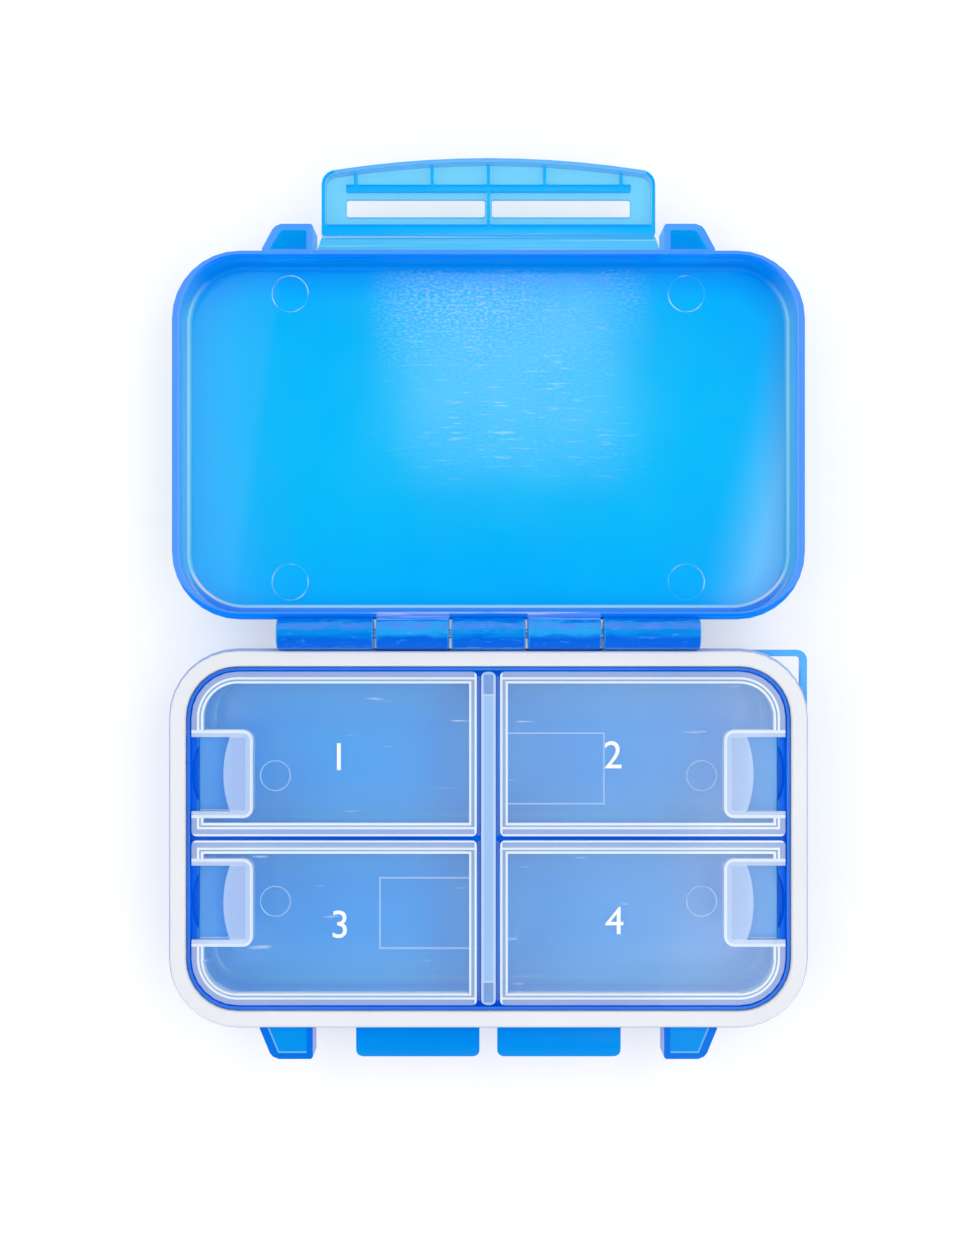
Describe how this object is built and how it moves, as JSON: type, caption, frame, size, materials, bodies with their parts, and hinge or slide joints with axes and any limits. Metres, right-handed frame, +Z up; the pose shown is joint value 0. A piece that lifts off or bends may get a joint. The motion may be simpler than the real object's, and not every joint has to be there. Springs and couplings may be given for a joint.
{
  "type": "pill organizer",
  "caption": "Shallow pocket pill box with a seal ring, a hinged main lid with a snap latch, and a clear flap over each well.",
  "frame": {"origin": "centre of the flat underside of the base", "axes": "+X to the right as seen with the latch side in front, +Y from the latch side to the hinge, +Z up"},
  "size_m": [0.107, 0.1516, 0.0206],
  "materials": {
    "base_blue": "translucent blue, smooth",
    "lid_blue": "translucent blue, smooth",
    "clear_plastic": "clear, slightly hazy",
    "seal_white": "matt white",
    "pin_steel": "drawn wire"
  },
  "bodies": {
    "base": {"base_shell": "base_blue", "gasket": "seal_white", "hinge_pin": "pin_steel", "divider_spine": "clear_plastic"},
    "lid": {"lid_shell": "lid_blue"},
    "latch": {"latch_flap": "lid_blue", "latch_film": "lid_blue"},
    "inner_lid_1": {"compartment_lid_1": "clear_plastic", "lid_film_1": "clear_plastic"},
    "inner_lid_2": {"compartment_lid_2": "clear_plastic", "lid_film_2": "clear_plastic"},
    "inner_lid_3": {"compartment_lid_3": "clear_plastic", "lid_film_3": "clear_plastic"},
    "inner_lid_4": {"compartment_lid_4": "clear_plastic", "lid_film_4": "clear_plastic"}
  },
  "joints": [
    {"name": "lid_hinge", "type": "hinge", "parent": "base", "child": "lid", "pos_m": [0, 0.0342, 0.0179], "axis": [-1, 0, 0], "range_deg": [-180, 0]},
    {"name": "latch_bend", "type": "hinge", "parent": "lid", "child": "latch", "pos_m": [0, 0.09977, 0.01658], "axis": [-1, 0, 0], "range_deg": [-90, 25], "deforming": ["latch_film"]},
    {"name": "inner_bend_1", "type": "hinge", "parent": "base", "child": "inner_lid_1", "pos_m": [-0.0016, 0, 0.01755], "axis": [0, 1, 0], "range_deg": [0, 90], "deforming": ["lid_film_1"]},
    {"name": "inner_bend_2", "type": "hinge", "parent": "base", "child": "inner_lid_2", "pos_m": [0.0016, 0, 0.01755], "axis": [0, -1, 0], "range_deg": [0, 90], "deforming": ["lid_film_2"]},
    {"name": "inner_bend_3", "type": "hinge", "parent": "base", "child": "inner_lid_3", "pos_m": [-0.0016, 0, 0.01755], "axis": [0, 1, 0], "range_deg": [0, 90], "deforming": ["lid_film_3"]},
    {"name": "inner_bend_4", "type": "hinge", "parent": "base", "child": "inner_lid_4", "pos_m": [0.0016, 0, 0.01755], "axis": [0, -1, 0], "range_deg": [0, 90], "deforming": ["lid_film_4"]}
  ]
}
